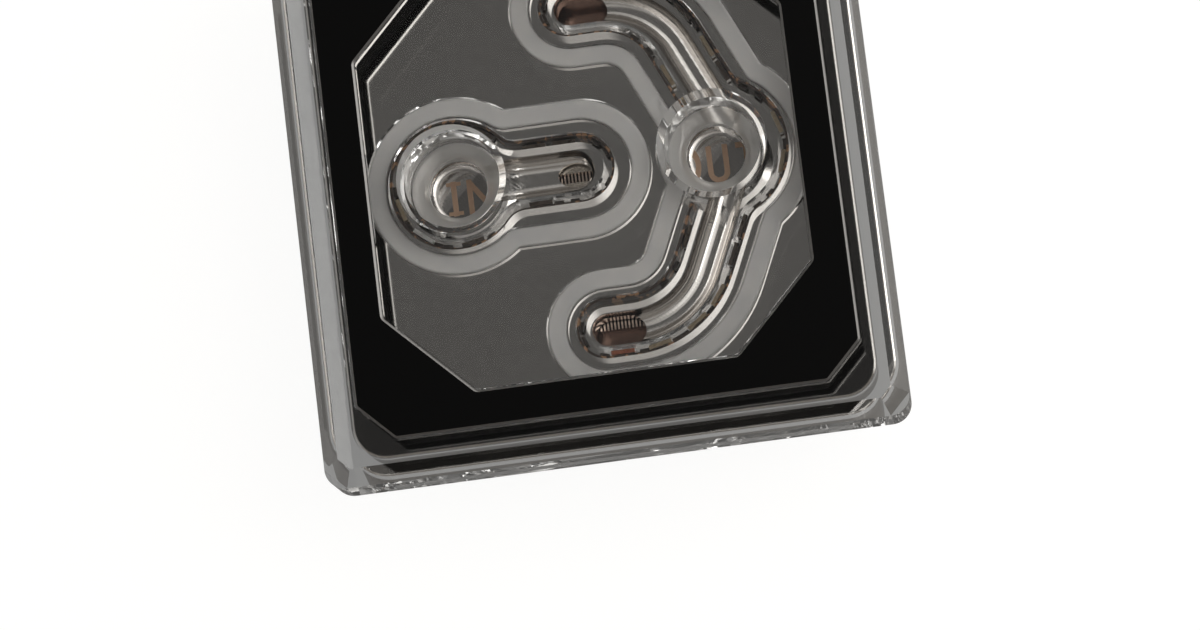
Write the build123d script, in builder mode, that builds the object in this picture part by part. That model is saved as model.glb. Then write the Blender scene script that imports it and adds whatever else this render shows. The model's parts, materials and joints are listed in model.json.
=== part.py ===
from build123d import *
import math
import os

os.makedirs("parts", exist_ok=True)

# Water block for a processor, in millimetres. The origin is the centre of the contact face that presses on the
# processor, +Z is up through the clear cover, and the two ports lie along X.

# Driving sizes of the stack, from the contact face up
contact_pad_height = 0.8
flange_thickness = 2.5
body_thickness = 8.0
ceiling_thickness = 8.2
skirt_depth = 1.4

# Clear cover
cover_width = 70.0
cover_corner_radius = 2.5
facet_width = 2.0
facet_angle = 45.0
pocket_clearance = 0.15

# Metal body in the cover's pocket
body_width = 63.0
body_corner_radius = 4.0
body_edge_chamfer = 0.3

# Ports: pipe thread G1/4, drawn at its crest radius
port_spacing = 31.4
port_crest_radius = 5.72
port_mouth_radius = 6.6
port_mouth_depth = 0.9
port_depth = 6.4
flow_radius = 3.6

# Black frame in the top of the cover
frame_width = 60.4
frame_corner_cut = 4.4
window_width = 51.4
window_corner_cut = 10.1
frame_corner_round = 0.8
frame_thickness = 1.5
frame_bevel = 0.3
frame_groove_depth = 1.45
frame_clearance = 0.1
frame_tape_thickness = 0.15
frame_tape_inset = 0.6

# Water channels in the metal body
channel_depth = 2.9
channel_floor_round = 1.8
inlet_channel_width = 5.0
inlet_end_x = -1.4
outlet_channel_width = 3.9
outlet_arm_end_x = 0.4
outlet_arm_corner_x = 10.0
outlet_arm_corner_radius = 10.0
outlet_arm_crossing_x = 18.9
outlet_channel_end_y = 3.8
slot_row_y = 19.75
port_pocket_radius = 4.2
port_pocket_round = 1.2
outlet_slot_length = 6.15
outlet_slot_width = 3.5
outlet_slot_x = 1.65
nozzle_x = -1.5
nozzle_length = 4.2
nozzle_width = 3.0

# Seals and light tapes that follow the channels
loop_blend = 2.8
inlet_loop_end_x = -0.6
inlet_gasket_bulge = 8.3
inlet_gasket_half_width = 6.0
outlet_gasket_bulge = 9.4
outlet_gasket_neck = 4.5
outlet_gasket_half_width = 4.8
inlet_tape_bulge = 8.0
inlet_tape_half_width = 4.3
outlet_tape_bulge = 9.0
outlet_tape_neck = 3.5
outlet_tape_half_width = 3.75
gasket_groove_width = 2.6
gasket_groove_depth = 1.0
gasket_side_clearance = 0.15
gasket_edge_round = 0.3
bore_wall_radius = 6.9
tape_slot_depth = 3.2
tape_thickness = 0.3
tape_height = 2.4
tape_clearance = 0.05
light_length = 2.8
light_height = 1.3
light_thickness = 0.5
light_seat = 0.2
light_clearance = 0.25
tape_slot_width = tape_clearance + tape_thickness + light_seat + light_thickness + light_clearance
chip_length = 1.1
chip_height = 0.8
chip_thickness = 0.4
chip_seat = 0.05
inlet_light_shares = (0.203, 0.256, 0.35, 0.42, 0.49, 0.622, 0.688, 0.785, 0.925)
inlet_chip_shares = (0.03, 0.058, 0.117, 0.145, 0.385, 0.455, 0.525, 0.585, 0.655, 0.72, 0.738, 0.82, 0.957, 0.985)
outlet_light_shares = (
    (0.16, 0.1925, 0.2305, 0.2595, 0.297, 0.322, 0.388, 0.979)
    + (0.424, 0.49, 0.515, 0.5525, 0.5815, 0.6195, 0.652, 0.833)
)
outlet_chip_shares = (
    (0.005, 0.022, 0.107, 0.12, 0.144, 0.178, 0.2075, 0.2155, 0.245, 0.2745, 0.343, 0.358, 0.404)
    + (0.454, 0.469, 0.5375, 0.567, 0.5965, 0.6045, 0.634, 0.668, 0.692, 0.705, 0.79, 0.807)
)

# Cold plate with its fins
cold_plate_width = 46.0
cold_plate_length = 54.0
cold_plate_corner_radius = 3.0
contact_pad_width = 33.0
contact_pad_length = 42.0
contact_pad_corner_radius = 2.0
fin_thickness = 0.2
fin_pitch = 0.43
fin_field_width = 25.8
fin_length = 38.0
fin_height = 3.0

# Fin chamber, jet plate and the seal round them
chamber_width = 27.4
chamber_length = 44.0
chamber_corner_radius = 2.0
jet_plate_thickness = 0.6
jet_plate_width = 27.0
jet_plate_length = 35.0
jet_plate_corner_radius = 1.0
jet_gap = 0.05
jet_slit_length = 22.0
jet_slit_width = 1.2
plenum_length = 24.0
plenum_width = 4.0
plenum_depth = 0.8
seal_wall = 1.1
seal_groove_width = 2.2
seal_groove_depth = 1.4
seal_width = 1.9
seal_edge_round = 0.45

# Fasteners
cover_screw_radius = 1.5
cover_screw_head_radius = 2.75
cover_screw_head_height = 1.6
cover_screw_seat_depth = 2.4
cover_screw_length = 10.0
cover_screw_socket = 2.0
cover_screw_socket_depth = 0.9
cover_screw_edge = 4.1
cover_screw_spacing_x = body_width - 2 * cover_screw_edge
cover_screw_spacing_y = 37.0
base_screw_radius = 1.25
base_screw_head_radius = 2.3
base_screw_head_angle = 45.0
base_screw_length = 6.0
base_screw_socket = 1.5
base_screw_socket_depth = 0.8
base_screw_x = 19.6
base_screw_y_near = 7.6
base_screw_y_far = 22.8
screw_hole_clearance = 0.05
screw_end_gap = 0.5
cover_screw_clearance = 0.2
bracket_hole_radius = 1.65
bracket_hole_depth = 5.0
bracket_spacing = 54.0
overrun = 1.0

# Levels worked out from the stack
flange_z = contact_pad_height
body_z = flange_z + flange_thickness
plate_z = body_z + body_thickness
cover_z = plate_z - skirt_depth
cover_top = plate_z + ceiling_thickness
channel_floor_z = plate_z - channel_depth
groove_floor_z = cover_top - frame_groove_depth
screw_seat_z = body_z + cover_screw_seat_depth
jet_plate_z = body_z + fin_height + jet_gap
chamber_top_z = jet_plate_z + jet_plate_thickness
port_x = port_spacing / 2
port_floor_z = cover_top - port_depth


def octagon(width, corner_cut, corner_round):
    """Square outline with its corners cut at 45 degrees and each remaining corner slightly rounded."""
    with BuildSketch() as outline:
        Rectangle(width, width)
        chamfer(outline.vertices(), length=corner_cut)
        fillet(outline.vertices(), radius=corner_round)
    return outline.sketch


def outlet_path(end_y):
    """Line along the lower outlet arm, from its slot up to a distance before the line of the ports."""
    lean = (outlet_arm_crossing_x - outlet_arm_corner_x) / slot_row_y
    return FilletPolyline(
        (outlet_arm_end_x, -slot_row_y),
        (outlet_arm_corner_x, -slot_row_y),
        (outlet_arm_crossing_x - lean * end_y, -end_y),
        radius=outlet_arm_corner_radius,
    )


def inlet_loop(bulge, half_width, margin):
    """Outline round the inlet port and channel, grown by a margin; its hollow corners are blended."""
    with BuildSketch() as outline:
        with Locations((-port_x, 0)):
            Circle(bulge)
        SlotArc(Edge.make_line((-port_x, 0), (inlet_loop_end_x, 0)), 2 * half_width)
        offset(amount=loop_blend)
        offset(amount=margin - loop_blend)
    return outline.sketch


def outlet_loop(bulge, neck, half_width, margin):
    """Outline round the outlet port and both arms, grown by a margin; the neck is its side towards the inlet."""
    with BuildLine() as arm:
        outlet_path(0)
    with BuildSketch() as outline:
        with Locations((port_x, 0)):
            Circle(bulge)
            with Locations((-bulge, 0)):
                Rectangle(2 * bulge, 2 * bulge, mode=Mode.SUBTRACT)
            Circle(neck)
        SlotArc(arm.wires()[0], 2 * half_width)
        mirror(about=Plane.XZ)
        offset(amount=loop_blend)
        offset(amount=margin - loop_blend)
    return outline.sketch


def gasket_loops(margin):
    """The inlet and outlet outlines along the inner edge of the gasket grooves."""
    return (
        inlet_loop(inlet_gasket_bulge, inlet_gasket_half_width, margin),
        outlet_loop(outlet_gasket_bulge, outlet_gasket_neck, outlet_gasket_half_width, margin),
    )


def tape_loops(margin):
    """The inlet and outlet outlines along the outer wall of the light-tape slots."""
    return (
        inlet_loop(inlet_tape_bulge, inlet_tape_half_width, margin),
        outlet_loop(outlet_tape_bulge, outlet_tape_neck, outlet_tape_half_width, margin),
    )


def bands(loops, inner_margin, outer_margin):
    """Two strips of even width, one along the inlet outline and one along the outlet outline."""
    strips = []
    for inner, outer in zip(loops(inner_margin), loops(outer_margin)):
        with BuildSketch() as strip:
            add(outer)
            add(inner, mode=Mode.SUBTRACT)
        strips.append(strip.sketch)
    return strips


def tape_bands(inner_margin, outer_margin):
    """Strips along the light-tape slots, left out where the outlet bore stands in their way."""
    strips = []
    for band in bands(tape_loops, inner_margin, outer_margin):
        with BuildSketch() as strip:
            add(band)
            with Locations((port_x, 0)):
                Circle(bore_wall_radius, mode=Mode.SUBTRACT)
        strips.append(strip.sketch)
    return strips


# Clear cover: a thick acrylic block, rounded at its four upright edges and faceted at 45 degrees round the top
facet_height = facet_width / math.tan(math.radians(facet_angle))
cover_thread_depth = screw_seat_z + cover_screw_length + screw_end_gap - plate_z

with BuildPart() as clear_cover:
    with BuildSketch(Plane.XY.offset(cover_z)):
        RectangleRounded(cover_width, cover_width, cover_corner_radius)
    extrude(amount=cover_top - facet_height - cover_z)
    with BuildSketch(Plane.XY.offset(cover_top - facet_height)) as facet_foot:
        Rectangle(cover_width, cover_width)
        chamfer(facet_foot.vertices(), length=cover_corner_radius)
    extrude(amount=facet_height, taper=facet_angle)
    # Pocket that drops over the metal body
    with BuildSketch(Plane.XY.offset(cover_z)):
        RectangleRounded(
            body_width + 2 * pocket_clearance,
            body_width + 2 * pocket_clearance,
            body_corner_radius + pocket_clearance,
        )
    extrude(amount=skirt_depth, mode=Mode.SUBTRACT)
    # Groove for the black frame
    with BuildSketch(Plane.XY.offset(groove_floor_z)):
        add(octagon(frame_width + 2 * frame_clearance, frame_corner_cut, frame_corner_round))
        add(octagon(window_width - 2 * frame_clearance, window_corner_cut, frame_corner_round), mode=Mode.SUBTRACT)
    extrude(amount=frame_groove_depth, mode=Mode.SUBTRACT)
    # Threaded holes for the cover screws, blind under the frame
    with BuildSketch(Plane.XY.offset(plate_z)):
        with GridLocations(cover_screw_spacing_x, cover_screw_spacing_y, 2, 2):
            Circle(cover_screw_radius + screw_hole_clearance)
    extrude(amount=cover_thread_depth, mode=Mode.SUBTRACT)
    # Ports, with a bevelled mouth and a smaller flow hole through the floor
    with BuildSketch(Plane.XY.offset(port_floor_z)):
        with Locations((-port_x, 0), (port_x, 0)):
            Circle(port_crest_radius)
    extrude(amount=port_depth, mode=Mode.SUBTRACT)
    with Locations((-port_x, 0, cover_top - port_mouth_depth / 2), (port_x, 0, cover_top - port_mouth_depth / 2)):
        Cone(port_crest_radius, port_mouth_radius, port_mouth_depth, mode=Mode.SUBTRACT)
    with BuildSketch(Plane.XY.offset(plate_z)):
        with Locations((-port_x, 0), (port_x, 0)):
            Circle(flow_radius)
    extrude(amount=port_floor_z - plate_z, mode=Mode.SUBTRACT)
    # Gasket grooves and light-tape slots, milled from below
    with BuildSketch(Plane.XY.offset(plate_z)):
        add(bands(gasket_loops, 0, gasket_groove_width))
    extrude(amount=gasket_groove_depth, mode=Mode.SUBTRACT)
    with BuildSketch(Plane.XY.offset(plate_z)):
        add(tape_bands(-tape_slot_width, 0))
    extrude(amount=tape_slot_depth, mode=Mode.SUBTRACT)
clear_cover.part.label = "clear_cover"

# Black frame: an anodised plate ring with bevelled edges, flush in its groove
frame_z = groove_floor_z + frame_tape_thickness
with BuildPart() as black_frame:
    with BuildSketch(Plane.XY.offset(frame_z)):
        add(octagon(frame_width, frame_corner_cut, frame_corner_round))
        add(octagon(window_width, window_corner_cut, frame_corner_round), mode=Mode.SUBTRACT)
    extrude(amount=frame_thickness)
    chamfer(black_frame.faces().sort_by(Axis.Z)[-1].edges(), length=frame_bevel)
black_frame.part.label = "black_frame"

# Adhesive ring under the frame
with BuildPart() as frame_tape:
    with BuildSketch(Plane.XY.offset(groove_floor_z)):
        add(octagon(frame_width - 2 * frame_tape_inset, frame_corner_cut, frame_corner_round))
        add(octagon(window_width + 2 * frame_tape_inset, window_corner_cut, frame_corner_round), mode=Mode.SUBTRACT)
    extrude(amount=frame_tape_thickness)
frame_tape.part.label = "frame_tape"

# Cutters for the water channels: outlines of even width whose floors are rounded as a ball-ended cutter leaves them
with BuildPart() as port_pockets:
    with BuildSketch(Plane.XY.offset(channel_floor_z)):
        with Locations((-port_x, 0), (port_x, 0)):
            Circle(port_pocket_radius)
    extrude(amount=channel_depth + overrun)
    fillet(port_pockets.faces().filter_by(Axis.Z).group_by(Axis.Z)[0].edges(), radius=port_pocket_round)

with BuildPart() as inlet_channel:
    with BuildSketch(Plane.XY.offset(channel_floor_z)):
        SlotArc(Edge.make_line((-port_x, 0), (inlet_end_x, 0)), inlet_channel_width)
    extrude(amount=channel_depth + overrun)
    fillet(inlet_channel.faces().sort_by(Axis.Z)[0].edges(), radius=channel_floor_round)

with BuildPart() as outlet_arm:
    with BuildLine() as arm_line:
        outlet_path(outlet_channel_end_y)
    with BuildSketch(Plane.XY.offset(channel_floor_z)):
        SlotArc(arm_line.wires()[0], outlet_channel_width)
    extrude(amount=channel_depth + overrun)
    fillet(outlet_arm.faces().sort_by(Axis.Z)[0].edges(), radius=channel_floor_round)

# Metal body: nickel-plated, with the channels in its top and the fin chamber in its underside
seal_line_width = chamber_width + 2 * seal_wall
seal_line_length = chamber_length + 2 * seal_wall
seal_corner = chamber_corner_radius + seal_wall
base_thread_depth = base_screw_length - flange_thickness + screw_end_gap
base_screw_places = [
    (sx * base_screw_x, sy * y)
    for sx in (-1, 1)
    for sy in (-1, 1)
    for y in (base_screw_y_near, base_screw_y_far)
]

with BuildPart() as channel_body:
    with BuildSketch(Plane.XY.offset(body_z)):
        RectangleRounded(body_width, body_width, body_corner_radius)
    extrude(amount=body_thickness)
    chamfer(channel_body.faces().sort_by(Axis.Z)[-1].edges(), length=body_edge_chamfer)
    chamfer(channel_body.faces().sort_by(Axis.Z)[0].edges(), length=body_edge_chamfer)
    # Channels from above
    add(port_pockets.part, mode=Mode.SUBTRACT)
    add(inlet_channel.part, mode=Mode.SUBTRACT)
    add(outlet_arm.part, mode=Mode.SUBTRACT)
    add(outlet_arm.part.mirror(Plane.XZ), mode=Mode.SUBTRACT)
    # Fin chamber, plenum, oval nozzle and outlet slots
    with BuildSketch(Plane.XY.offset(body_z)):
        RectangleRounded(chamber_width, chamber_length, chamber_corner_radius)
    extrude(amount=chamber_top_z - body_z, mode=Mode.SUBTRACT)
    with BuildSketch(Plane.XY.offset(chamber_top_z)):
        SlotOverall(plenum_length, plenum_width)
    extrude(amount=plenum_depth, mode=Mode.SUBTRACT)
    with BuildSketch(Plane.XY.offset(chamber_top_z)):
        with Locations((nozzle_x, 0)):
            Ellipse(nozzle_length / 2, nozzle_width / 2)
        with Locations((outlet_slot_x, -slot_row_y), (outlet_slot_x, slot_row_y)):
            SlotOverall(outlet_slot_length, outlet_slot_width)
    extrude(amount=plate_z - chamber_top_z, mode=Mode.SUBTRACT)
    # Seal groove round the chamber
    with BuildSketch(Plane.XY.offset(body_z)):
        RectangleRounded(
            seal_line_width + 2 * seal_groove_width,
            seal_line_length + 2 * seal_groove_width,
            seal_corner + seal_groove_width,
        )
        RectangleRounded(seal_line_width, seal_line_length, seal_corner, mode=Mode.SUBTRACT)
    extrude(amount=seal_groove_depth, mode=Mode.SUBTRACT)
    # Sunk seats and through holes for the cover screws
    with BuildSketch(Plane.XY.offset(body_z)):
        with GridLocations(cover_screw_spacing_x, cover_screw_spacing_y, 2, 2):
            Circle(cover_screw_head_radius + cover_screw_clearance)
    extrude(amount=cover_screw_seat_depth, mode=Mode.SUBTRACT)
    with BuildSketch(Plane.XY.offset(screw_seat_z)):
        with GridLocations(cover_screw_spacing_x, cover_screw_spacing_y, 2, 2):
            Circle(cover_screw_radius + cover_screw_clearance)
    extrude(amount=plate_z - screw_seat_z, mode=Mode.SUBTRACT)
    # Threaded holes for the cold plate screws and for the screws of a mounting bracket
    with BuildSketch(Plane.XY.offset(body_z)):
        with Locations(*base_screw_places):
            Circle(base_screw_radius + screw_hole_clearance)
    extrude(amount=base_thread_depth, mode=Mode.SUBTRACT)
    with BuildSketch(Plane.XY.offset(body_z)):
        with GridLocations(bracket_spacing, bracket_spacing, 2, 2):
            Circle(bracket_hole_radius)
    extrude(amount=bracket_hole_depth, mode=Mode.SUBTRACT)
channel_body.part.label = "channel_body"

# Gaskets: one pale silicone band round each channel, pressed between the groove and the metal
gasket_outlines = bands(gasket_loops, gasket_side_clearance, gasket_groove_width - gasket_side_clearance)
for gasket_name, gasket_outline in zip(("gasket_in", "gasket_out"), gasket_outlines):
    with BuildPart() as gasket:
        with BuildSketch(Plane.XY.offset(plate_z)):
            add(gasket_outline)
        extrude(amount=gasket_groove_depth)
        fillet(gasket.faces().filter_by(Axis.Z).edges(), radius=gasket_edge_round)
    gasket.part.label = gasket_name
    export_step(gasket.part, f"parts/{gasket_name}.step")

# Jet plate: thin sheet on the fin tips, with the slit that feeds their middle
with BuildPart() as jet_plate:
    with BuildSketch(Plane.XY.offset(jet_plate_z)):
        RectangleRounded(jet_plate_width, jet_plate_length, jet_plate_corner_radius)
        SlotOverall(jet_slit_length, jet_slit_width, mode=Mode.SUBTRACT)
    extrude(amount=jet_plate_thickness)
jet_plate.part.label = "jet_plate"

# Seal of the fin chamber, squeezed to the depth of its groove
seal_offset = (seal_groove_width - seal_width) / 2
with BuildPart() as base_seal:
    with BuildSketch(Plane.XY.offset(body_z)):
        RectangleRounded(
            seal_line_width + 2 * (seal_offset + seal_width),
            seal_line_length + 2 * (seal_offset + seal_width),
            seal_corner + seal_offset + seal_width,
        )
        RectangleRounded(
            seal_line_width + 2 * seal_offset,
            seal_line_length + 2 * seal_offset,
            seal_corner + seal_offset,
            mode=Mode.SUBTRACT,
        )
    extrude(amount=seal_groove_depth)
    fillet(base_seal.faces().filter_by(Axis.Z).edges(), radius=seal_edge_round)
base_seal.part.label = "base_seal"

# Cold plate: copper, with a raised contact pad below and skived fins on top
fin_count = round((fin_field_width - fin_thickness) / fin_pitch) + 1
csk_depth = (base_screw_head_radius - base_screw_radius) / math.tan(math.radians(base_screw_head_angle))
with BuildPart() as cold_plate:
    with BuildSketch():
        RectangleRounded(contact_pad_width, contact_pad_length, contact_pad_corner_radius)
    extrude(amount=contact_pad_height)
    with BuildSketch(Plane.XY.offset(flange_z)):
        RectangleRounded(cold_plate_width, cold_plate_length, cold_plate_corner_radius)
    extrude(amount=flange_thickness)
    with BuildSketch(Plane.XY.offset(body_z)):
        with GridLocations(fin_pitch, 0, fin_count, 1):
            Rectangle(fin_thickness, fin_length)
    extrude(amount=fin_height)
    with BuildSketch(Plane.XY.offset(flange_z)):
        with Locations(*base_screw_places):
            Circle(base_screw_radius + screw_hole_clearance)
    extrude(amount=flange_thickness, mode=Mode.SUBTRACT)
    with Locations(*[(x, y, flange_z + csk_depth / 2) for x, y in base_screw_places]):
        Cone(
            base_screw_head_radius + screw_hole_clearance,
            base_screw_radius + screw_hole_clearance,
            csk_depth,
            mode=Mode.SUBTRACT,
        )
cold_plate.part.label = "cold_plate"

# Light tapes: narrow flexible circuits on edge in their slots, against the outer wall
tape_face = -tape_clearance - tape_thickness
for tape_name, tape_outline in zip(("led_tape_in", "led_tape_out"), tape_bands(tape_face, -tape_clearance)):
    with BuildPart() as tape:
        with BuildSketch(Plane.XY.offset(plate_z)):
            add(tape_outline)
        extrude(amount=tape_height)
    tape.part.label = tape_name
    export_step(tape.part, f"parts/{tape_name}.step")


def tape_seats(loop, shares):
    """Planes on the inner face of a tape, at shares of the way round it, with Y pointing to the channel."""
    inside = loop.faces()[0]
    path = inside.outer_wire()
    start = path @ shares[0] + Vector(0, 0, 1).cross(path % shares[0]) * tape_thickness
    turn = 1 if inside.is_inside(start) else -1
    return [Plane(origin=path @ share + Vector(0, 0, plate_z), x_dir=(path % share) * turn) for share in shares]


# Lights: small side-emitting packages on the tapes, with driver chips between them
inlet_face, outlet_face = tape_loops(tape_face)
for side, loop, light_shares, chip_shares in (
    ("in", inlet_face, inlet_light_shares, inlet_chip_shares),
    ("out", outlet_face, outlet_light_shares, outlet_chip_shares),
):
    for number, plane in enumerate(tape_seats(loop, light_shares), start=1):
        with BuildPart(plane) as light:
            with Locations((0, light_seat, (tape_height - light_height) / 2)):
                Box(light_length, light_thickness, light_height, align=(Align.CENTER, Align.MIN, Align.MIN))
        light.part.label = f"led_{side}_{number}"
        export_step(light.part, f"parts/{light.part.label}.step")
    with BuildPart(*tape_seats(loop, chip_shares)) as chips:
        with Locations((0, chip_seat, (tape_height - chip_height) / 2)):
            Box(chip_length, chip_thickness, chip_height, align=(Align.CENTER, Align.MIN, Align.MIN))
    chips.part.label = f"tape_chips_{side}"
    export_step(chips.part, f"parts/{chips.part.label}.step")

# Cover screws: low-head cap screws from below, sunk in the metal body and threaded into the cover
with BuildPart() as cover_screws:
    with BuildSketch(Plane.XY.offset(screw_seat_z)):
        with GridLocations(cover_screw_spacing_x, cover_screw_spacing_y, 2, 2):
            Circle(cover_screw_head_radius)
    extrude(amount=-cover_screw_head_height)
    with BuildSketch(Plane.XY.offset(screw_seat_z)):
        with GridLocations(cover_screw_spacing_x, cover_screw_spacing_y, 2, 2):
            Circle(cover_screw_radius)
    extrude(amount=cover_screw_length)
    with BuildSketch(Plane.XY.offset(screw_seat_z - cover_screw_head_height)):
        with GridLocations(cover_screw_spacing_x, cover_screw_spacing_y, 2, 2):
            RegularPolygon(cover_screw_socket / 2, 6, major_radius=False)
    extrude(amount=cover_screw_socket_depth, mode=Mode.SUBTRACT)
cover_screws.part.label = "cover_screws"

# Base screws: countersunk, flush with the underside of the cold plate's flange
with BuildPart() as base_screws:
    with Locations(*[(x, y, flange_z + csk_depth / 2) for x, y in base_screw_places]):
        Cone(base_screw_head_radius, base_screw_radius, csk_depth)
    with Locations(*[(x, y, flange_z) for x, y in base_screw_places]):
        Cylinder(
            base_screw_radius,
            base_screw_length,
            align=(Align.CENTER, Align.CENTER, Align.MIN),
        )
    with BuildSketch(Plane.XY.offset(flange_z)):
        with Locations(*base_screw_places):
            RegularPolygon(base_screw_socket / 2, 6, major_radius=False)
    extrude(amount=base_screw_socket_depth, mode=Mode.SUBTRACT)
base_screws.part.label = "base_screws"

for piece in (
    clear_cover,
    black_frame,
    frame_tape,
    channel_body,
    jet_plate,
    base_seal,
    cold_plate,
    cover_screws,
    base_screws,
):
    export_step(piece.part, f"parts/{piece.part.label}.step")
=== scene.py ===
import json
import math

import bmesh
import bpy
from mathutils import Matrix, Vector


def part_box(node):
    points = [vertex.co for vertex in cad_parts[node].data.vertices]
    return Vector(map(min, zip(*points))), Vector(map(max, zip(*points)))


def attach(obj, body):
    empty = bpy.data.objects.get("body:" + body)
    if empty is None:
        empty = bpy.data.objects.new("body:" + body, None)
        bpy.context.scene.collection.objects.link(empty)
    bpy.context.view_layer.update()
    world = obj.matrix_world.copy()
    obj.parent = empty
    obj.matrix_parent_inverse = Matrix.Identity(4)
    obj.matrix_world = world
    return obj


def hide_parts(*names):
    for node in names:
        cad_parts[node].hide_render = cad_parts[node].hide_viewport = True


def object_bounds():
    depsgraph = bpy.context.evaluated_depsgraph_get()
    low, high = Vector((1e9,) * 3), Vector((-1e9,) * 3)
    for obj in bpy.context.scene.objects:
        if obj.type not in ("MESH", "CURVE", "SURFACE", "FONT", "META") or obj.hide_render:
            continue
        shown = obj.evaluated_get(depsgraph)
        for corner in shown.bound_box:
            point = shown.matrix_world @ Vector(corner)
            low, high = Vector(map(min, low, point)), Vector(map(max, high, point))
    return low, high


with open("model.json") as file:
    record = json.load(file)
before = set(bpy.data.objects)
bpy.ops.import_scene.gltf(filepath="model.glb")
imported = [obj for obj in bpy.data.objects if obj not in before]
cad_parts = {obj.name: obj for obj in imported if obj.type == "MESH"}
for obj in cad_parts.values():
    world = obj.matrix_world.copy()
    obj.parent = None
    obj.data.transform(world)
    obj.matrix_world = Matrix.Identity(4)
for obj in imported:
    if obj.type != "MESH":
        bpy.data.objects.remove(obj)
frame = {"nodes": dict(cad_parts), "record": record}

# Box of the imported solids
packed_low, packed_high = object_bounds()

# Camera: a long lens almost straight above the block, leaning a little from the front right, as in the
# photograph. Its three directions are the picture's right, its top, and the way back to the viewer.
mm = 0.001
camera_place = Vector((45.22, -114.10, 577.42)) * mm
picture_right = (0.98777, -0.11933, -0.10039)
picture_up = (0.13411, 0.97855, 0.15636)
picture_back = (0.07958, -0.16791, 0.98259)
picture_axes = Matrix((picture_right, picture_up, picture_back)).transposed()
camera_data = bpy.data.cameras.new("camera")
camera_data.sensor_width = 36
camera_data.lens = 144.02
camera_data.clip_start = 0.01
camera_data.clip_end = 20
camera = bpy.data.objects.new("camera", camera_data)
camera.matrix_world = Matrix.Translation(camera_place) @ picture_axes.to_4x4()
bpy.context.collection.objects.link(camera)
bpy.context.scene.camera = camera
bpy.context.scene.view_settings.view_transform = "Standard"


# Studio: a pale, slightly warm tent round the block, lit from the right and dim in front. The flat metal is
# as good as a mirror, and shows a dark card that hangs above it beside the camera. A second card hangs to the
# left of that, and a softbox on each side gives the highlights along the channels and edges.
class Signal:
    """A value on a shader socket. Sums, products and comparisons of it add Math nodes."""

    def __init__(self, nodes, socket):
        self.nodes = nodes
        self.socket = socket

    def maths(self, operation, *values):
        made = self.nodes.node("Math", {"operation": operation}, dict(enumerate(values)))
        return self.nodes.out(made, "Value")

    def __add__(self, other):
        return self.maths("ADD", self, other)

    def __radd__(self, other):
        return self.maths("ADD", other, self)

    def __sub__(self, other):
        return self.maths("SUBTRACT", self, other)

    def __rsub__(self, other):
        return self.maths("SUBTRACT", other, self)

    def __mul__(self, other):
        return self.maths("MULTIPLY", self, other)

    def __rmul__(self, other):
        return self.maths("MULTIPLY", other, self)

    def __gt__(self, other):
        return self.maths("GREATER_THAN", self, other)

    def __lt__(self, other):
        return self.maths("LESS_THAN", self, other)

    def __abs__(self):
        return self.maths("ABSOLUTE", self)

    def root(self):
        return self.maths("SQRT", self)


class Nodes:
    """The shader nodes of the studio or of one finish."""

    def __init__(self, owner):
        owner.use_nodes = True
        self.tree = owner.node_tree

    def feed(self, entry, value):
        """Link a signal to a socket, or set the socket to a value."""
        if isinstance(value, Signal):
            self.tree.links.new(value.socket, entry)
        else:
            entry.default_value = value

    def node(self, kind, settings=None, sockets=None):
        """Add a node: its settings and a ramp's stops first, then the values or links of its sockets."""
        made = self.tree.nodes.new("ShaderNode" + kind)
        for name, value in (settings or {}).items():
            if name != "stops":
                setattr(made, name, value)
                continue
            elements = made.color_ramp.elements
            while len(elements) < len(value):
                elements.new(1.0)
            for element, (position, colour) in zip(elements, value):
                element.position = position
                element.color = (*colour, 1)
        for name, value in (sockets or {}).items():
            self.feed(made.inputs[name], value)
        return made

    def out(self, made, name):
        return Signal(self, made.outputs[name])

    def blend(self, share, first, second):
        """Colour that goes from the first to the second as share goes from 0 to 1."""
        first, second = (
            colour if isinstance(colour, Signal) else (*colour, 1) for colour in (first, second)
        )
        # A Mix node mixes numbers and vectors too: its sockets for colours are 6 and 7, and its output 2
        made = self.node("Mix", {"data_type": "RGBA"}, {"Factor": share, 6: first, 7: second})
        return self.out(made, 2)


world = bpy.data.worlds.new("studio")
bpy.context.scene.world = world
studio = Nodes(world)
facing = studio.out(studio.node("TexCoord"), "Generated")
facing_parts = studio.node("SeparateXYZ", sockets={"Vector": facing})
sideways, ahead, upwards = (studio.out(facing_parts, axis) for axis in "XYZ")


def shades(along, *stops):
    """Colours that follow a signal, from stop to stop."""
    return studio.out(studio.node("ValToRGB", {"stops": stops}, {"Fac": along}), "Color")


def rise(along, start, end):
    """Share that grows from 0 to 1 between two values of a signal."""
    return shades(along, (start, (0, 0, 0)), (end, (1, 1, 1)))


def towards(middle):
    """How nearly a direction points at a card, up to 1."""
    turned = studio.node("VectorMath", {"operation": "DOT_PRODUCT"}, {0: facing, 1: middle})
    return studio.out(turned, "Value")


tent = shades(
    upwards,
    (0.0, (0.22, 0.21, 0.20)),
    (0.30, (0.40, 0.38, 0.355)),
    (0.70, (0.42, 0.405, 0.385)),
    (0.92, (0.50, 0.485, 0.465)),
)
right_light = (1.35, 1.32, 1.27)
front_shade = (0.20, 0.185, 0.17)
left_card, left_card_place = (0.13, 0.127, 0.124), (-0.42, 0.15, 0.895)
main_card, main_card_place = (0.112, 0.110, 0.107), (-0.078, 0.168, 0.983)
white = (1, 1, 1)
tent = studio.blend(rise(sideways, 0.04, 0.20), tent, right_light)
tent = studio.blend(rise(ahead * -1.0, 0.20, 0.55), tent, front_shade)
tent = studio.blend(rise(towards(left_card_place), 0.90, 0.95), tent, left_card)
tent = studio.blend(rise(towards(main_card_place), 0.987, 0.9945), tent, main_card)
seen = studio.out(studio.node("LightPath"), "Is Camera Ray")
studio.feed(studio.tree.nodes["Background"].inputs["Color"], studio.blend(seen, tent, white))


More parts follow.
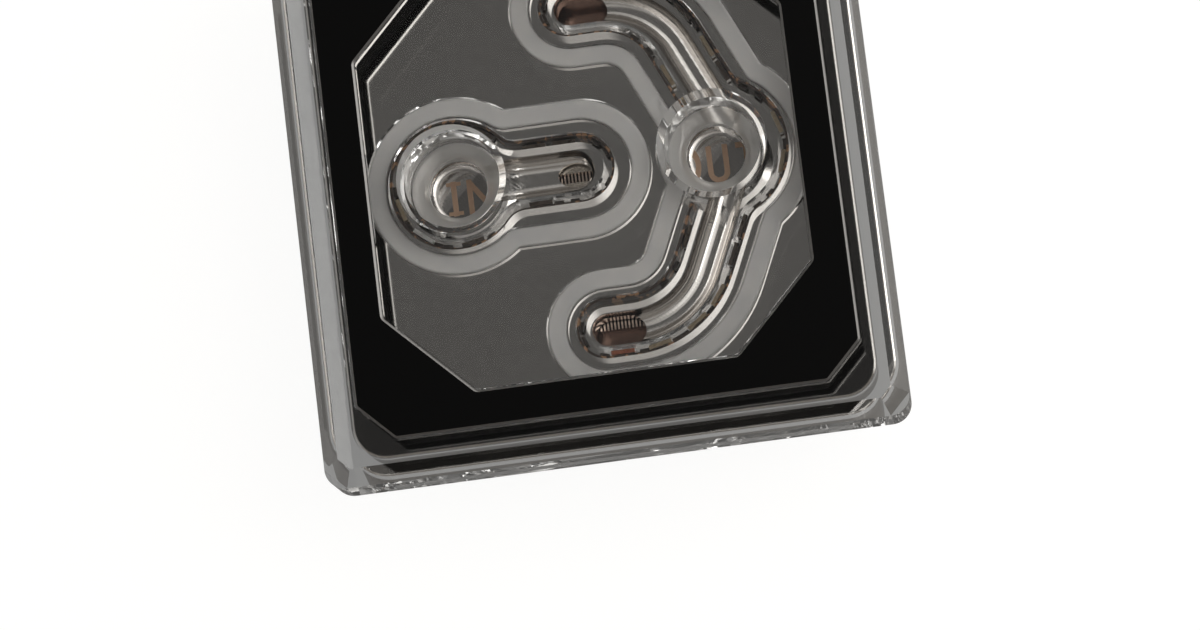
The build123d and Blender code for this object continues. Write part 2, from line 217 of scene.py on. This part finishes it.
def softbox(name, place, width, height, power):
    light = bpy.data.lights.new(name, "AREA")
    light.shape = "RECTANGLE"
    light.size = width
    light.size_y = height
    light.energy = power
    light.color = (1.0, 0.98, 0.95)
    lamp = bpy.data.objects.new(name, light)
    lamp.location = place
    lamp.rotation_euler = (-Vector(place)).to_track_quat("-Z", "Y").to_euler()
    bpy.context.collection.objects.link(lamp)


softbox("softbox_right", (0.60, 0.12, 0.50), 0.40, 0.8, 2.0)
softbox("softbox_left", (-0.70, 0.20, 0.50), 0.50, 0.8, 0.35)

# Light goes many times through the clear cover before it comes back from the metal
cycles = bpy.context.scene.cycles
cycles.max_bounces = 24
cycles.transmission_bounces = 24
cycles.glossy_bounces = 12


# Floor: a plain white sheet of paper, a hair under the contact face. It keeps a faint shadow, and the metal
# and the clear cover show it dimmer than the camera sees it.
class Finish(Nodes):
    """A material: its main shader with what is plain on it, and the nodes for what varies."""

    def __init__(self, name, **plain):
        self.material = bpy.data.materials.new(name)
        super().__init__(self.material)
        self.shader = self.tree.nodes["Principled BSDF"]
        for socket, value in plain.items():
            self.shader.inputs[socket.replace("_", " ")].default_value = value

    def drive(self, socket, signal):
        self.feed(self.shader.inputs[socket], signal)


paper_gap = 0.02 * mm
paper_white = (0.93, 0.93, 0.925)
share_mirrored = 0.12
floor_mesh = bpy.data.meshes.new("floor")
sheet = bmesh.new()
bmesh.ops.create_grid(sheet, x_segments=1, y_segments=1, size=3)
bmesh.ops.translate(sheet, verts=sheet.verts, vec=(0, 0, packed_low.z - paper_gap))
sheet.to_mesh(floor_mesh)
sheet.free()
floor = bpy.data.objects.new("floor", floor_mesh)
bpy.context.collection.objects.link(floor)
paper = Finish("paper", Base_Color=(0.10, 0.097, 0.092, 1), Roughness=0.9, Emission_Strength=1.0)
rays = paper.node("LightPath")
mirrored = paper.out(rays, "Is Glossy Ray") + paper.out(rays, "Is Transmission Ray")
looked_at = paper.out(rays, "Is Camera Ray") + mirrored * share_mirrored
paper.drive("Emission Color", paper.blend(looked_at, (0, 0, 0), paper_white))
floor_mesh.materials.append(paper.material)


# Cold plate: one piece of bare copper under the metal body. The fins are skived up from it; their tips carry
# painted light and their flanks painted shade. The face that touches the processor is lapped in one
# direction.
class PartFinish(Finish):
    """A finish of the part itself, whose patterns follow the place on the object."""

    def __init__(self, name, **plain):
        super().__init__(name, **plain)
        self.where = self.out(self.node("TexCoord"), "Object")

    def axes(self):
        """Place on the object in metres, as x, y and z."""
        parts = self.node("SeparateXYZ", sockets={"Vector": self.where})
        return tuple(self.out(parts, axis) for axis in "XYZ")

    def grain(self, scale, detail, stretch=(1, 1, 1)):
        """Cloudy noise from 0 to 1, with scale in lumps per metre."""
        mapped = self.node("Mapping", sockets={"Vector": self.where, "Scale": stretch})
        spread = {"Vector": self.out(mapped, "Vector"), "Scale": scale, "Detail": detail}
        return self.out(self.node("TexNoise", sockets=spread), "Fac")

    def relief(self, height, distance, strength):
        raised = {"Height": height, "Distance": distance, "Strength": strength}
        self.drive("Normal", self.out(self.node("Bump", sockets=raised), "Normal"))

    def coat(self, *names):
        """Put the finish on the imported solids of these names."""
        for name in names:
            slots = frame["nodes"][name].data.materials
            slots.clear()
            slots.append(self.material)


fin_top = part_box("cold_plate")[1].z
flange_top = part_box("channel_body")[0].z
copper = PartFinish("bare_copper", Metallic=1.0)
z = copper.axes()[2]
# Painted light: the tops of the fins are coloured bright, as if lit from above.
lit_fin_tips = z > fin_top - 0.12 * mm
above_flange = z > flange_top - 0.05 * mm
lapping = copper.grain(700, 5, (1, 12, 1))
lapped = copper.blend(lapping, (0.60, 0.37, 0.26), (0.76, 0.50, 0.37))
# Painted shade: the flanks and roots of the fins are coloured dark, as if shaded between them.
shaded_flanks = copper.blend(lapping, (0.16, 0.10, 0.08), (0.30, 0.20, 0.16))
fin_light_and_shade = copper.blend(lit_fin_tips, shaded_flanks, (0.74, 0.59, 0.50))
copper.drive("Base Color", copper.blend(above_flange, lapped, fin_light_and_shade))
copper.drive("Roughness", 0.12 + lapping * 0.16)
copper.relief(lapping, 0.01 * mm, 0.3)
copper.coat("cold_plate")

# Jet plate: thin rolled stainless sheet that lies on the fins, with a slit over their middle. The metal
# body holds it down, and rolling has left fine lines on it.
sheet_steel = PartFinish("sheet_steel", Metallic=1.0)
rolling = sheet_steel.grain(1500, 3, (1, 20, 1))
sheet_steel.drive("Base Color", sheet_steel.blend(rolling, (0.50, 0.44, 0.37), (0.62, 0.56, 0.49)))
sheet_steel.drive("Roughness", 0.15 + rolling * 0.2)
sheet_steel.coat("jet_plate")

# Seal of the fin chamber: a moulded ring of black rubber in a groove, pressed between the metal body and
# the cold plate. It is evenly matt from the mould.
rubber = PartFinish("black_rubber", Base_Color=(0.02, 0.02, 0.02, 1))
rubber.drive("Roughness", 0.45 + rubber.grain(3000, 3) * 0.2)
rubber.coat("base_seal")

# Metal body: milled brass with bright nickel plating. Its flat top is polished, and dark outside the frame.
# The channels keep the fine scallops of the ball-ended cutter, and the floors of the port pockets are
# slightly dished at their back left. Outside the dish, each pocket floor is coloured darker as painted shade.
plate_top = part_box("channel_body")[1].z
port_x = frame["record"]["mounts"][1]["pos_m"][0]
frame_reach = 30.3 * mm
frame_corner_reach = 56.0 * mm
channel_depth = 3.1 * mm
pocket_radius = 4.1 * mm
pocket_floor_zone = 2.5 * mm
dish_start = 0.2 * mm
dish_steepness = 1.6e7
nickel = PartFinish("nickel_plating", Metallic=1.0)
x, y, z = nickel.axes()
haze = nickel.grain(900, 4)
on_top = z > plate_top - 0.1 * mm
in_channel = (z < plate_top - 0.15 * mm) * (z > plate_top - channel_depth)
past_sides = (abs(x) > frame_reach) + (abs(y) > frame_reach)
past_frame = (past_sides + (abs(x) + abs(y) > frame_corner_reach)) * on_top
port_side = (x > 0.0) * (2 * port_x) - port_x
from_port = abs(x) - port_x
from_axis = (from_port * from_port + y * y).root()
in_pocket = (from_axis < pocket_radius) * (z < plate_top - pocket_floor_zone)
to_back_left = (y - x + port_side) * 0.7 - dish_start
dished = in_pocket * (to_back_left > 0.0)
dish = dished * to_back_left * to_back_left * dish_steepness
bright = nickel.blend(haze, (0.64, 0.615, 0.59), (0.72, 0.695, 0.67))
# The top is darker outside the frame. The floor of each port pocket outside its dish carries painted shade.
dark_past_frame_and_pocket_shade = past_frame + (in_pocket - dished) * 0.45
nickel.drive("Base Color", nickel.blend(dark_past_frame_and_pocket_shade, bright, (0.12, 0.115, 0.11)))
nickel.drive("Roughness", 0.045 + haze * 0.05 + in_channel * 0.05)
cutter = nickel.node(
    "TexWave",
    {"bands_direction": "DIAGONAL"},
    {"Vector": nickel.where, "Scale": 1100.0, "Distortion": 1.0, "Detail": 1.0},
)
scallops = nickel.out(cutter, "Fac") * in_channel
nickel.relief(scallops + haze * 0.3 - dish, 0.006 * mm, 0.35)
nickel.coat("channel_body")

# Port labels: the words IN and OUT, engraved through the plating on the floor of each port pocket, where they
# show the colour of copper. Each letter is a few flat strokes, and no two strokes share a plane.
letter_height = 4.3 * mm
stroke = 0.66 * mm
ink_depth = 0.03 * mm
stroke_step = 0.002 * mm
pocket_floor = plate_top - 2.9 * mm


def bar(ink, start, end, width=stroke):
    """Straight stroke between two points of a letter."""
    start, end = Vector(start), Vector(end)
    run = end - start
    middle = ((start + end) / 2).to_3d()
    middle.z = len(ink.faces) * stroke_step
    drawn = bmesh.ops.create_grid(ink, x_segments=1, y_segments=1, size=0.5)["verts"]
    turn = Matrix.Rotation(math.atan2(run.y, run.x), 4, "Z")
    size = Matrix.Diagonal((run.length, width, 1, 1))
    bmesh.ops.transform(ink, matrix=Matrix.Translation(middle) @ turn @ size, verts=drawn)


def bend(ink, centre, radius, start, sweep, steps, tallness=1.0):
    """Round stroke about a centre: an edge as wide as the stroke, spun from an angle in degrees."""
    centre = Vector(centre).to_3d()
    drawn_before = set(ink.verts)
    ray = Matrix.Rotation(math.radians(start), 3, "Z") @ Vector((1, 0, 0))
    ends = [ink.verts.new(centre + ray * (radius + side * stroke / 2)) for side in (-1, 1)]
    bmesh.ops.spin(
        ink,
        geom=[*ends, ink.edges.new(ends)],
        cent=centre,
        axis=(0, 0, 1),
        angle=math.radians(sweep),
        steps=steps,
        use_merge=sweep == 360,
    )
    drawn = [vert for vert in ink.verts if vert not in drawn_before]
    bmesh.ops.scale(ink, vec=(1, tallness, 1), space=Matrix.Translation(-centre), verts=drawn)


def letter_i(ink, left):
    width = 1.8 * mm
    bar(ink, (left + width / 2, 0), (left + width / 2, letter_height))
    for height in (stroke / 2, letter_height - stroke / 2):
        bar(ink, (left, height), (left + width, height), stroke * 0.7)


def letter_n(ink, left):
    posts = (left + stroke / 2, left + 2.9 * mm)
    for post in posts:
        bar(ink, (post, 0), (post, letter_height))
    bar(ink, (posts[0], letter_height - stroke / 2), (posts[1], stroke / 2))


def letter_o(ink, left):
    radius = 1.3 * mm
    bend(ink, (left + radius, letter_height / 2), radius, 0, 360, 24, tallness=1.55)


def letter_u(ink, left):
    radius = 1.0 * mm
    for post in (left, left + 2 * radius):
        bar(ink, (post, radius), (post, letter_height))
    bend(ink, (left + radius, radius), radius, 180, 180, 12)


def letter_t(ink, left):
    width = 2.5 * mm
    bar(ink, (left + width / 2, 0), (left + width / 2, letter_height))
    bar(ink, (left, letter_height - stroke / 2), (left + width, letter_height - stroke / 2))


engraved = PartFinish("label_copper", Metallic=0.6)
etching = engraved.grain(5000, 3)
engraved.drive("Base Color", engraved.blend(etching, (0.34, 0.225, 0.155), (0.48, 0.34, 0.25)))
engraved.drive("Roughness", 0.35 + etching * 0.25)
words = {
    "label_in": ((-17.6 * mm, -2.45 * mm), {letter_i: 0, letter_n: 2.5 * mm}),
    "label_out": ((10.6 * mm, -2.43 * mm), {letter_o: 0, letter_u: 4.0 * mm, letter_t: 7.3 * mm}),
}
for word, (corner, letters) in words.items():
    ink = bmesh.new()
    for letter, left in letters.items():
        letter(ink, left)
    grown = bmesh.ops.extrude_face_region(ink, geom=ink.faces[:])["geom"]
    raised = [part for part in grown if isinstance(part, bmesh.types.BMVert)]
    bmesh.ops.translate(ink, verts=raised, vec=(0, 0, ink_depth))
    bmesh.ops.translate(ink, verts=ink.verts, vec=(*corner, pocket_floor))
    bmesh.ops.recalc_face_normals(ink, faces=ink.faces)
    word_mesh = bpy.data.meshes.new(word)
    ink.to_mesh(word_mesh)
    ink.free()
    word_mesh.materials.append(engraved.material)
    label = bpy.data.objects.new(word, word_mesh)
    bpy.context.collection.objects.link(label)
    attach(label, "root")

# Gaskets: broad bands of pale, faintly milky silicone. They are moulded, lie in grooves of the cover, and
# are pressed on the polished top of the metal body round each channel.
silicone = PartFinish("pale_silicone", Coat_Weight=0.15)
milk = silicone.grain(350, 3)
silicone.drive("Base Color", silicone.blend(milk, (0.58, 0.58, 0.585), (0.73, 0.705, 0.68)))
silicone.drive("Roughness", 0.36 + milk * 0.14)
silicone.relief(silicone.grain(5000, 2), 0.01 * mm, 0.3)
silicone.coat("gasket_in", "gasket_out")

# Light tapes: flexible circuit that stands on edge in slots of the cover, beside the gaskets. A dark brown
# cover coat lies over it, and copper tracks show through.
track_threshold = 0.58
circuit = PartFinish("tape_circuit")
tracks = circuit.grain(1200, 2, (1, 1, 0.2)) > track_threshold
circuit.drive("Base Color", circuit.blend(tracks, (0.045, 0.03, 0.022), (0.35, 0.19, 0.10)))
circuit.drive("Roughness", 0.3 + circuit.grain(4000, 2) * 0.3)
circuit.coat("led_tape_in", "led_tape_out")

# Chips between the lights: small moulded cases of brown black plastic, soldered to the tapes. They are matt
# from the mould.
chip_case = PartFinish("chip_case")
mould = chip_case.grain(6000, 3)
chip_case.drive("Base Color", chip_case.blend(mould, (0.018, 0.013, 0.01), (0.05, 0.035, 0.026)))
chip_case.drive("Roughness", 0.4 + mould * 0.2)
chip_case.coat("tape_chips_in", "tape_chips_out")

# Lights: small side-emitting packages with a clear front, soldered to the tapes. Most read brown or tan
# through the cover, one is orange and one is white.
packages = {
    "tan": ((0.27, 0.21, 0.13), (0.40, 0.32, 0.22)),
    "orange": ((0.28, 0.075, 0.035), (0.42, 0.15, 0.08)),
    "white": ((0.50, 0.50, 0.48), (0.66, 0.66, 0.64)),
    "brown": ((0.035, 0.024, 0.016), (0.085, 0.06, 0.042)),
}
tan_lights = ["led_in_6"] + ["led_out_%d" % number for number in (2, 3, 4, 7, 9, 11, 13, 16)]
tints = {"led_out_1": "orange", "led_in_7": "white", **dict.fromkeys(tan_lights, "tan")}
lights = [name for name in frame["nodes"] if name.startswith("led_") and "tape" not in name]
for tint, (shade, tone) in packages.items():
    package = PartFinish("light_package_" + tint, Coat_Weight=0.3)
    cloud = package.grain(1800, 2)
    package.drive("Base Color", package.blend(cloud, shade, tone))
    package.drive("Roughness", 0.22 + cloud * 0.15)
    package.coat(*(name for name in lights if tints.get(name, "brown") == tint))

# Clear cover: one block of cast acrylic, polished outside and slightly frosted where it is milled from below,
# on the port floors and in the flow holes. This copy of the solid has smooth round walls, and stands a hair
# clear of all that it touches, because light passes a thin film of air there.
air_film = 0.012 * mm
sharp_corner = math.radians(25)
block = bmesh.new()
block.from_mesh(frame["nodes"]["clear_cover"].data)
bmesh.ops.remove_doubles(block, verts=block.verts, dist=0.001 * mm)
block.normal_update()
shrunk = [vert.co - vert.normal * vert.calc_shell_factor() * air_film for vert in block.verts]
for vert, spot in zip(block.verts, shrunk):
    vert.co = spot
for face in block.faces:
    face.smooth = True
for edge in block.edges:
    edge.smooth = edge.calc_face_angle(0) < sharp_corner
cover_mesh = bpy.data.meshes.new("acrylic_cover")
block.to_mesh(cover_mesh)
block.free()
cover = bpy.data.objects.new("acrylic_cover", cover_mesh)
bpy.context.collection.objects.link(cover)
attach(cover, "root")
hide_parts("clear_cover")

milled_depth = 3.4 * mm
milled_reach = 30 * mm
port_floor_radius = 5.6 * mm
hole_radius = 3.62 * mm
hole_depth = 1.7 * mm
clear = (0.97, 0.975, 0.975, 1)
acrylic = PartFinish("clear_acrylic", Base_Color=clear, Transmission_Weight=1.0, IOR=1.49)
x, y, z = acrylic.axes()
milled = (z > plate_top + 0.05 * mm) * (z < plate_top + milled_depth)
inside = (abs(x) < milled_reach) * (abs(y) < milled_reach)
from_port = abs(x) - port_x
from_axis = (from_port * from_port + y * y).root()
port_floor = (from_axis < port_floor_radius) * (z > plate_top + 0.3 * mm)
hole_wall = (from_axis < hole_radius) * (z < plate_top + hole_depth)
acrylic.drive("Roughness", milled * inside * 0.07 + port_floor * 0.30)
frost = acrylic.node("BsdfDiffuse", sockets={"Color": (0.68, 0.67, 0.65, 1)})
frosted = acrylic.node(
    "MixShader",
    sockets={
        "Fac": port_floor * 0.25 + hole_wall * 0.35,
        1: acrylic.out(acrylic.shader, "BSDF"),
        2: acrylic.out(frost, "BSDF"),
    },
)
acrylic.feed(acrylic.tree.nodes["Material Output"].inputs["Surface"], acrylic.out(frosted, "Shader"))
cover_mesh.materials.append(acrylic.material)

# Adhesive ring: a thin black film that holds the frame in its groove in the cover. It is matt, and only its
# edge can be seen.
glue = PartFinish("adhesive_film", Base_Color=(0.015, 0.015, 0.015, 1))
glue.drive("Roughness", 0.5 + glue.grain(4000, 2) * 0.2)
glue.coat("frame_tape")

# Black frame: a flat ring of anodised plate with cut corners, laid on the adhesive ring. Its bevelled edges
# are coloured as lighter grey metal, a painted highlight along them.
frame_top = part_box("black_frame")[1].z
bevel_height = 0.29 * mm
black = (0.0015, 0.0015, 0.0015)
anodised = PartFinish("black_anodised", Specular_IOR_Level=0.3)
z = anodised.axes()[2]
bevel_highlight_band = (z > frame_top - bevel_height) * (z < frame_top - 0.012 * mm)
fine = anodised.grain(6000, 3)
# Painted highlight: the bevel band is coloured grey and made metallic, so the edges show a light line.
anodised.drive("Base Color", anodised.blend(bevel_highlight_band, black, (0.24, 0.235, 0.23)))
anodised.drive("Metallic", bevel_highlight_band)
anodised.drive("Roughness", 0.08 + fine * 0.06 + bevel_highlight_band * 0.25)
anodised.relief(fine, 0.004 * mm, 0.2)
anodised.coat("black_frame")

# Screws: turned stainless steel, put in from below. Eight countersunk ones hold the cold plate to the metal
# body, and four go up through the metal body into the cover.
steel = PartFinish("screw_steel", Base_Color=(0.52, 0.51, 0.50, 1), Metallic=1.0)
steel.drive("Roughness", 0.22 + steel.grain(2500, 3) * 0.16)
steel.coat("cover_screws", "base_screws")
